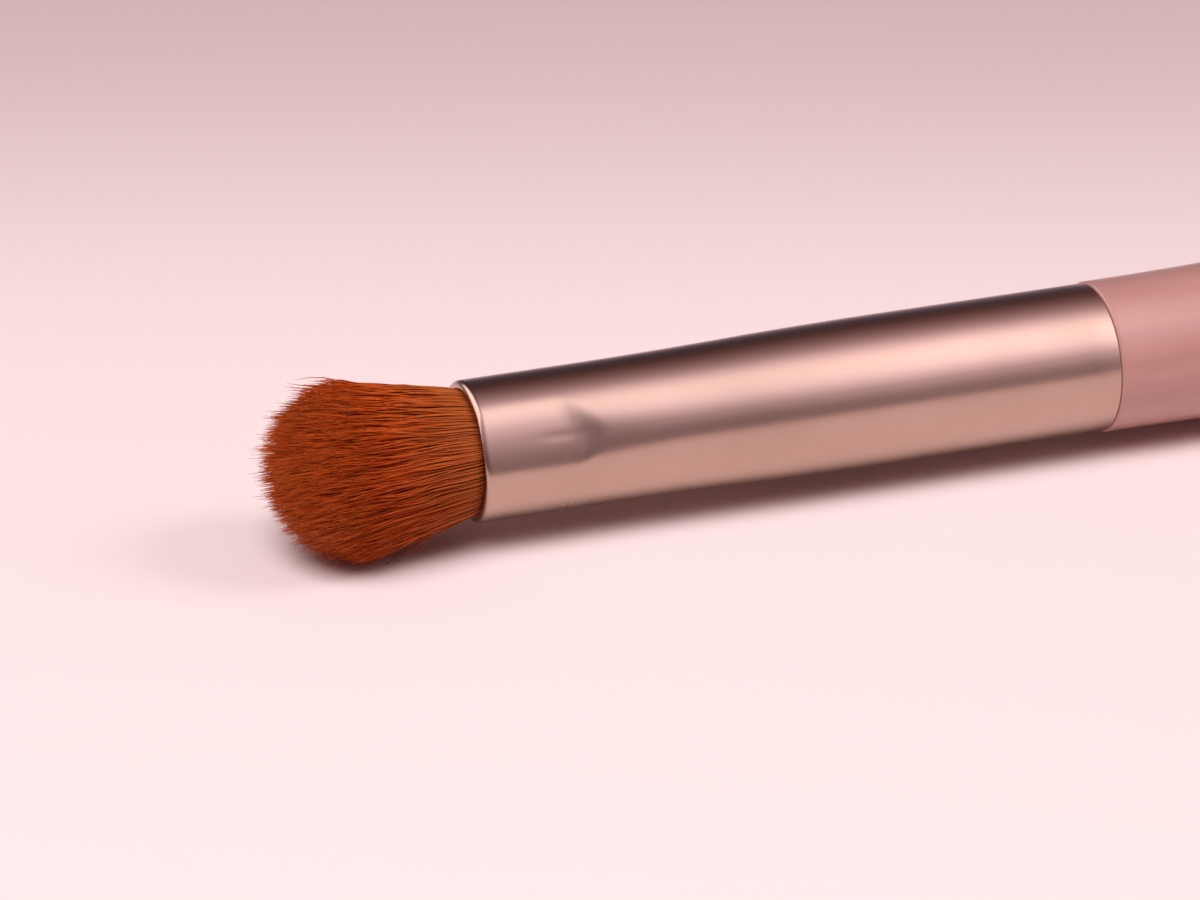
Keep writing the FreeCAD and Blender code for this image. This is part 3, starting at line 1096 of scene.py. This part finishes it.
@dataclass
class Ferrule:
    """Drawn metal tube with a rolled lip, a slight swelling and two pressed flats."""

    place: Place
    finish: RoseGoldMetal = field(default_factory=RoseGoldMetal)
    mouth_radius: float = 3.3
    rear_radius: float = 3.53
    wall: float = 0.32
    front_land: float = 5.0
    taper_length: float = 16.0
    taper_turn: float = 0.5
    lip_length: float = 0.3
    lip_height: float = 0.33
    lip_inner: float = 0.03
    opening_radius: float = 2.94
    lip_depth: float = 0.7
    rear_edge: float = 0.1
    flat_depth: float = 0.15
    flat_deepening: float = 0.03
    flat_end: float = 4.9
    flat_rounding: float = 0.1
    flat_runout: float = 1.0
    flat_angle: float = 26.0
    flat_softness: float = 0.42
    flat_crown: float = 10.5
    trail_depth: float = 0.14
    trail_width: float = 1.2
    trail_offset: float = -0.4
    trail_length: float = 2.4
    dent_depth: float = 0.016
    dent_station: float = 3.7
    dent_length: float = 1.0
    dent_width: float = 0.25
    dent_offset: float = 0.1
    columns: int = 360

    def profile(self) -> np.ndarray:
        """The wall's section: along the outside to the rear, and back through the bore.

        Returns:
            Stations and radii, where the last point joins the first.
        """
        out, rear = self.mouth_radius, self.rear_radius
        bore, end = out - self.wall, self.front_land + self.taper_length
        length = self.place.ferrule_length
        fine = self.front_land + 1.0
        edge = self.rear_edge
        turn = np.linspace(0, math.pi / 2, 12)
        lip = np.stack(
            [
                self.lip_length * (1 - np.cos(turn)),
                out + self.lip_height * (np.sin(turn) - 1),
            ],
            1,
        )
        taper = double_curve((self.front_land, out), (end, rear), self.taper_turn, 60)
        return joined([
            lip,
            straight((self.lip_length, out), (self.front_land, out), 70),
            taper,
            straight((end, rear), (length - edge, rear), 10),
            round_corner((0, rear), (length, rear), (length, 0), edge, 5),
            straight((length, rear - edge), (length, rear - self.wall), 3),
            straight((length, rear - self.wall), (end, rear - self.wall), 6),
            straight((end, rear - self.wall), (fine, bore), 8),
            straight((fine, bore), (self.lip_depth, bore), 50),
            straight((self.lip_depth, bore), (self.lip_inner, self.opening_radius), 5),
            round_corner(
                (1, self.opening_radius), (0, self.opening_radius), (0, out), self.lip_inner, 5
            ),
        ])

    def press(self, station: np.ndarray, radius: np.ndarray, angle: np.ndarray) -> np.ndarray:
        """The radius after the lip is rolled and the two flats are pressed.

        A flat is a nearly level face at the mouth's radius less depth from the axis, crowned by
        the square of the way sideways over twice the crown's radius. So along the angle a from
        its middle it allows (radius - depth - crown) / cos a, and the smaller of that and the
        tube's radius is taken with a soft joint. It starts at the lip, whose round opening it
        leaves alone. Its depth grows evenly towards the rear and falls smoothly along the
        run-out, earlier by rounding times the square of the way sideways, so its rear end is an
        arc. Behind the flat a hollow trails off: a bell across, whose middle lies the trail's
        offset from the flat's, and which fades along the ferrule as exp(-way / trail length).
        The end of the press tool leaves a shallow dent near the flat's rear, a bell both ways.

        Args:
            station: The stations.
            radius: The radii before.
            angle: The angles round the axis.

        Returns:
            The radii after.
        """
        outer = smooth_step(self.opening_radius + 0.05, self.mouth_radius - 0.05, radius)
        held = outer + (1 - outer) * smooth_step(0, self.lip_depth, station)
        pressed_in = (self.flat_depth + self.flat_deepening * station / self.flat_end) * held
        base = np.maximum(radius, radius + (self.mouth_radius - radius) * outer)
        for middle in (math.radians(self.flat_angle), math.radians(self.flat_angle + 180)):
            facing = np.cos(angle - middle)
            sideways = radius * np.sin(angle - middle)
            way = station - self.flat_end + self.flat_rounding * sideways**2
            fall = smooth_step(-self.flat_runout, self.flat_runout, way)
            depth = pressed_in * (1 - fall)
            trail = self.trail_depth * fall * np.exp(-np.maximum(way, 0) / self.trail_length)
            crown = (base - depth) - sideways**2 / (2 * self.flat_crown)
            plane = crown / np.maximum(facing, 0.2)
            soft = self.flat_softness * np.clip(depth / self.flat_depth, 1e-3, 1) ** 0.6
            pressed = soft_least(radius, plane, soft)
            beside = (sideways - self.trail_offset) / self.trail_width
            pressed = pressed - trail * np.exp(-(beside**2))
            along = (station - self.dent_station) / self.dent_length
            dent = np.exp(-(along**2) - ((sideways - self.dent_offset) / self.dent_width) ** 2)
            pressed = pressed - self.dent_depth * dent * outer
            radius = np.where(facing > 0.2, pressed, radius)
        return radius

    def build(self) -> bpy.types.Object:
        """Turns the profile about the axis, presses the flats and dresses the ferrule.

        Returns:
            The piece.
        """
        profile = self.profile()
        angle = 2 * math.pi * np.arange(self.columns) / self.columns
        station, angle = np.meshgrid(profile[:, 0], angle, indexing="ij")
        radius = self.press(station, np.broadcast_to(profile[:, 1:], station.shape), angle)
        points = self.place.metres(station, -radius * np.cos(angle), radius * np.sin(angle))
        piece = new_piece("ferrule_tube", points, [ring_faces(len(profile), self.columns, True)])
        piece.data.set_sharp_from_angle(angle=math.radians(40))
        hand_over(piece, ("ferrule",), self.finish.material())
        return piece


@dataclass
class Handle:
    """Turned handle: grooved tenon, shoulder, belly, tapered tail and rounded butt."""

    place: Place
    finish: SatinLacquer = field(default_factory=SatinLacquer)
    tenon_front: float = 21.0
    tenon_radius: float = 3.11
    tenon_chamfer: float = 0.5
    groove_depth: float = 0.3
    groove_width: float = 1.6
    shoulder_radius: float = 3.61
    shoulder_round: float = 0.15
    belly_radius: float = 4.25
    swell_length: float = 34.0
    swell_turn: float = 0.25
    belly_length: float = 8.0
    tail_bend: float = 20.0
    tail_radius: float = 2.15
    butt_round: float = 1.6
    columns: int = 192

    def profile(self) -> np.ndarray:
        """The handle's outline from the middle of the tenon's face to the middle of the butt.

        Returns:
            Stations and radii, without the two points on the axis.
        """
        front, tenon = self.tenon_front, self.tenon_radius
        joint, butt = self.place.ferrule_length, self.place.butt
        groove = (front + joint - self.groove_width) / 2
        floor = tenon - self.groove_depth
        shoulder, belly = self.shoulder_radius, self.belly_radius
        swell = joint + self.swell_length
        band = swell + self.belly_length
        corner = (band + self.tail_bend, belly)
        bend = round_corner((band, belly), corner, (butt, self.tail_radius), self.tail_bend, 60)
        end = round_corner(corner, (butt, self.tail_radius), (butt, 0), self.butt_round, 24)
        return joined([
            straight((front, 0.4), (front, tenon - self.tenon_chamfer), 4),
            straight((front + self.tenon_chamfer, tenon), (groove, tenon), 5),
            straight((groove, floor), (groove + self.groove_width, floor), 3),
            straight((groove + self.groove_width, tenon), (joint, tenon), 5),
            round_corner(
                (joint, tenon), (joint, shoulder), (joint + 1, shoulder), self.shoulder_round, 8
            ),
            double_curve((joint + self.shoulder_round, shoulder), (swell, belly), self.swell_turn, 80),
            straight((swell, belly), (band, belly), 12),
            bend,
            straight(tuple(bend[-1]), tuple(end[0]), 60),
            end,
            straight(tuple(end[-1]), (butt, 0.15), 3),
        ])

    def build(self) -> bpy.types.Object:
        """Turns the outline about the axis, closes both ends and dresses the handle.

        Returns:
            The piece.
        """
        profile = self.profile()
        angle = 2 * math.pi * np.arange(self.columns) / self.columns
        station, angle = np.meshgrid(profile[:, 0], angle, indexing="ij")
        radius = np.broadcast_to(profile[:, 1:], station.shape)
        points = self.place.metres(station, -radius * np.cos(angle), radius * np.sin(angle))
        ends = self.place.metres(profile[[0, -1], 0], np.zeros(2), np.zeros(2))
        last = len(points) - self.columns
        column = np.arange(self.columns)
        beside = (column + 1) % self.columns
        front = np.stack([np.full_like(column, len(points)), column, beside], 1)
        back = np.stack([np.full_like(column, len(points) + 1), last + beside, last + column], 1)
        walls = ring_faces(len(profile), self.columns, False)
        piece = new_piece("handle_turned", np.concatenate([points, ends]), [walls, front, back])
        piece.data.set_sharp_from_angle(angle=math.radians(40))
        hand_over(piece, ("handle",), self.finish.material())
        return piece


@dataclass(frozen=True)
class TableTop:
    """Painted board in matt pink, with painted shade that deepens its tone towards two edges.

    To the eye it is an even pale pink with a faint, soft mottle from the spray. The painted shade
    behind stands in for the lamps' light falling off, and a darker painted band far in front stands
    in for shaded floor in the ferrule's reflection, so the board is palest, as a painted pool of
    light, in a strip under the tuft and the ferrule.
    """

    # The rim and back tones are painted shade; the front tone is the board's own pale pink.
    rim: str = "#A98C8F"
    front: str = "#F0DDDE"
    back: str = "#D1BABE"
    fade: tuple[float, ...] = (-120.0, -57.0, -11.0, 52.0)
    painted_light_falloff_turn: float = 19.9
    mottle: float = 40.0
    mottle_share: float = 0.06
    roughness: float = 0.7

    def material(self) -> bpy.types.Material:
        """Builds the material on Object coordinates.

        Returns:
            The material.
        """
        material, tree, shader = new_material("matt_pink_board")
        set_inputs(shader, {"Roughness": self.roughness, "Specular IOR Level": 0.2})
        mottle = add_node(
            tree, "ShaderNodeTexNoise",
            Vector=millimetres(tree, (1, 1, 1)), Scale=1 / self.mottle, Detail=2.0,
        ).outputs["Fac"]
        turn = math.radians(self.painted_light_falloff_turn)
        along = add_node(
            tree, "ShaderNodeVectorMath", {"operation": "DOT_PRODUCT"},
            at_0=millimetres(tree, (1, 1, 1)), at_1=(math.sin(turn), math.cos(turn), 0),
        ).outputs["Value"]
        # Painted shade towards the two edges, along the painted falloff of the light.
        edges = [
            add_node(
                tree, "ShaderNodeMapRange", {"interpolation_type": "SMOOTHSTEP"},
                Value=along, From_Min=low, From_Max=high,
            ).outputs["Result"]
            for low, high in (self.fade[:2], self.fade[2:])
        ]
        uneven = add_node(
            tree, "ShaderNodeMath", {"operation": "MULTIPLY_ADD"},
            at_0=mottle, at_1=self.mottle_share, at_2=edges[1],
        )
        colour = fill_ramp(
            add_node(tree, "ShaderNodeValToRGB", Fac=uneven.outputs[0]), {0.03: self.front, 1.0: self.back}
        )
        board = add_node(
            tree, "ShaderNodeMix", {"data_type": "RGBA"},
            Factor=edges[0], at_6=linear(self.rim), at_7=colour,
        )
        tree.links.new(board.outputs[2], shader.inputs["Base Color"])
        return material


@dataclass
class SoftBox:
    """A lamp behind a cloth: its place over the mouth, its size in millimetres and its power."""

    name: str
    offset: tuple[float, float, float]
    width: float
    depth: float
    watts: float
    colour: str = "#FFFFFF"


@dataclass
class Studio:
    """Table, lights, surroundings and camera."""

    place: Place
    board: TableTop = field(default_factory=TableTop)
    board_radius: float = 3000.0
    lens: float = 165.0
    azimuth: float = -19.93
    elevation: float = 24.97
    distance: float = 251.0
    shift_right: float = 6.23
    shift_up: float = 0.105
    sky_strength: float = 2.12
    sky_on_matt: float = 0.26
    sky_matt_colour: str = "#F0BFBC"
    backdrop_colour: str = "#EBCFD2"
    window_strength: float = 2.2
    window_colour: str = "#FBEDEE"
    window_edges: dict[str, tuple[float, float]] = field(
        default_factory=lambda: {"X": (-0.1, -0.35), "Y": (-0.5, -0.15), "Z": (0.1, 0.35)}
    )
    sky: dict[float, str] = field(
        default_factory=lambda: {
            0.0: "#645559", 0.06: "#77676D", 0.121: "#92818B", 0.172: "#B19FAA", 0.222: "#D4C4D0",
            0.275: "#F2E4EF", 0.33: "#FBEEF6", 0.381: "#FFF5F7", 0.437: "#FDEEF3", 0.48: "#ECDCE3",
            0.525: "#CAB8C2", 0.589: "#98828D", 0.658: "#766063", 0.737: "#563F41", 0.806: "#3F2C2D",
            0.889: "#352D32", 0.967: "#4F4853",
        }
    )
    side_gain: float = 1.2
    side: dict[float, str] = field(
        default_factory=lambda: {
            0.25: "#8F8F8F", 0.5: "#9C9C9C", 0.55: "#ADADAD", 0.6: "#CBCBCB", 0.655: "#EBEBEB",
            0.7: "#F8F8F8", 0.75: "#FFFFFF",
        }
    )
    lights: tuple[SoftBox, ...] = (
        SoftBox("overhead_box", (-125.0, -112.0, 332.0), 260.0, 228.0, 1.4),
        SoftBox("right_key", (250.0, -106.0, 250.0), 140.0, 140.0, 0.38),
    )

    def build_board(self) -> None:
        """Makes the round table top, a fan of rings that are wider towards its rim."""
        columns, radii = 96, np.geomspace(20.0, self.board_radius, 24)
        angle = 2 * math.pi * np.arange(columns) / columns
        radius, angle = np.meshgrid(radii, angle, indexing="ij")
        flat = np.stack([radius * np.cos(angle), radius * np.sin(angle), np.zeros_like(radius)], -1)
        points = np.concatenate([flat.reshape(-1, 3), np.zeros((1, 3))]) * MM
        column = np.arange(columns)
        hub = np.stack([np.full_like(column, len(points) - 1), column, (column + 1) % columns], 1)
        board = new_piece("table_top", points, [ring_faces(len(radii), columns, False), hub])
        board.data.materials.append(self.board.material())

    def build_lights(self) -> None:
        """Hangs the soft boxes, each facing the ferrule's mouth.

        Neither the camera nor gloss shows them, because the room holds their soft reflection.
        """
        target = Vector((self.place.mouth, 0, self.place.height)) * MM
        for box in self.lights:
            lamp = bpy.data.lights.new(box.name, "AREA")
            lamp.shape = "RECTANGLE"
            lamp.size = box.width * MM
            lamp.size_y = box.depth * MM
            lamp.energy = box.watts
            lamp.color = linear(box.colour)[:3]
            stand = bpy.data.objects.new(box.name, lamp)
            stand.location = target + Vector(box.offset) * MM
            stand.rotation_euler = (target - stand.location).to_track_quat("-Z", "Y").to_euler()
            stand.visible_camera = False
            stand.visible_glossy = False
            bpy.context.scene.collection.objects.link(stand)

    def build_surroundings(self) -> None:
        """Fills the room: pale pink behind the table, and darker and higher up paler in gloss."""
        world = bpy.data.worlds.new("studio_room")
        world.use_nodes = True
        tree = world.node_tree
        tree.nodes.clear()
        way = add_node(tree, "ShaderNodeTexCoord").outputs["Generated"]
        split = add_node(tree, "ShaderNodeSeparateXYZ", Vector=way)
        times = {"operation": "MULTIPLY"}
        front = add_node(tree, "ShaderNodeMath", times, at_0=split.outputs["Y"], at_1=-1.0)
        rise = add_node(
            tree, "ShaderNodeMath", {"operation": "ARCTAN2"}, at_0=split.outputs["Z"], at_1=front.outputs[0]
        )
        share = add_node(
            tree, "ShaderNodeMath", {"operation": "DIVIDE"}, at_0=rise.outputs[0], at_1=math.pi
        )
        arch = add_node(tree, "ShaderNodeValToRGB", Fac=share.outputs[0])
        arch.color_ramp.interpolation = "EASE"
        room = fill_ramp(arch, self.sky)
        beside = add_node(
            tree, "ShaderNodeMath", {"operation": "MULTIPLY_ADD"},
            at_0=split.outputs["X"], at_1=0.5, at_2=0.5,
        )
        share_beside = fill_ramp(add_node(tree, "ShaderNodeValToRGB", Fac=beside.outputs[0]), self.side)
        side = add_node(
            tree, "ShaderNodeMath", times,
            at_0=share_beside, at_1=self.side_gain * self.sky_strength,
        )
        window = [
            add_node(
                tree, "ShaderNodeMapRange", {"interpolation_type": "SMOOTHSTEP"},
                Value=split.outputs[axis], From_Min=low, From_Max=high,
            ).outputs["Result"]
            for axis, (low, high) in self.window_edges.items()
        ]
        pane = add_node(tree, "ShaderNodeMath", times, at_0=window[0], at_1=window[1])
        pane = add_node(tree, "ShaderNodeMath", times, at_0=pane.outputs[0], at_1=window[2])
        mirrored = add_node(
            tree, "ShaderNodeMix", {"data_type": "RGBA"},
            Factor=pane.outputs[0], at_6=room, at_7=linear(self.window_colour),
        )
        strength = add_node(
            tree, "ShaderNodeMix", {"data_type": "FLOAT"},
            Factor=pane.outputs[0], at_2=side.outputs[0], at_3=self.window_strength,
        )
        path = add_node(tree, "ShaderNodeLightPath")
        cast = add_node(
            tree, "ShaderNodeMix", {"data_type": "RGBA"},
            Factor=path.outputs["Is Glossy Ray"],
            at_6=linear(self.sky_matt_colour), at_7=mirrored.outputs[2],
        )
        seen = add_node(
            tree, "ShaderNodeMix", {"data_type": "RGBA"},
            Factor=path.outputs["Is Camera Ray"],
            at_6=cast.outputs[2], at_7=linear(self.backdrop_colour),
        )
        gloss = add_node(
            tree, "ShaderNodeMix", {"data_type": "FLOAT"},
            Factor=path.outputs["Is Glossy Ray"], at_2=self.sky_on_matt, at_3=strength.outputs[0],
        )
        level = add_node(
            tree, "ShaderNodeMix", {"data_type": "FLOAT"},
            Factor=path.outputs["Is Camera Ray"], at_2=gloss.outputs[0], at_3=1.0,
        )
        glow = add_node(tree, "ShaderNodeBackground", Color=seen.outputs[2], Strength=level.outputs[0])
        add_node(tree, "ShaderNodeOutputWorld", Surface=glow.outputs["Background"])
        bpy.context.scene.world = world

    def build_camera(self) -> None:
        """Sets the camera at the photograph's angle and distance, with no blur."""
        turn, rise = math.radians(self.azimuth), math.radians(self.elevation)
        back = Vector(
            (math.sin(turn) * math.cos(rise), -math.cos(turn) * math.cos(rise), math.sin(rise))
        )
        right = Vector((math.cos(turn), math.sin(turn), 0.0))
        up = back.cross(right)
        camera = bpy.data.cameras.new("studio_camera")
        camera.lens = self.lens
        camera.sensor_width = 36.0
        camera.clip_start = 0.01
        camera.clip_end = 20.0
        stand = bpy.data.objects.new("studio_camera", camera)
        mouth = Vector((self.place.mouth, 0, self.place.height))
        spot = mouth + right * self.shift_right + up * self.shift_up + back * self.distance
        axes = Matrix((right, up, back)).transposed().to_4x4()
        stand.matrix_world = Matrix.Translation(spot * MM) @ axes
        bpy.context.scene.collection.objects.link(stand)
        bpy.context.scene.camera = stand

    def build(self) -> None:
        """Makes everything that isn't part of the brush."""
        self.build_camera()
        self.build_board()
        self.build_lights()
        self.build_surroundings()
        bpy.context.scene.view_settings.view_transform = "Standard"


def dress_inside(nodes: dict[str, bpy.types.Object]) -> None:
    """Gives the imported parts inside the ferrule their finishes.

    Args:
        nodes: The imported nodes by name.
    """
    for part in Inside:
        node = nodes[part.name.lower()]
        node.data.materials.clear()
        node.data.materials.append(part.value.material())
        log.info("%s: %s", node.name, part.value.name)


def main() -> None:
    """Builds the studio round the brush, then the brush on its frame."""
    logging.basicConfig(level=logging.INFO, format="%(name)s %(message)s")
    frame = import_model()
    place = Place.from_frame()
    Studio(place).build()
    dress_inside(frame["nodes"])
    Handle(place).build()
    Ferrule(place).build()
    Tuft(place).build()
    bpy.context.view_layer.update()


if __name__ == "__main__":
    main()
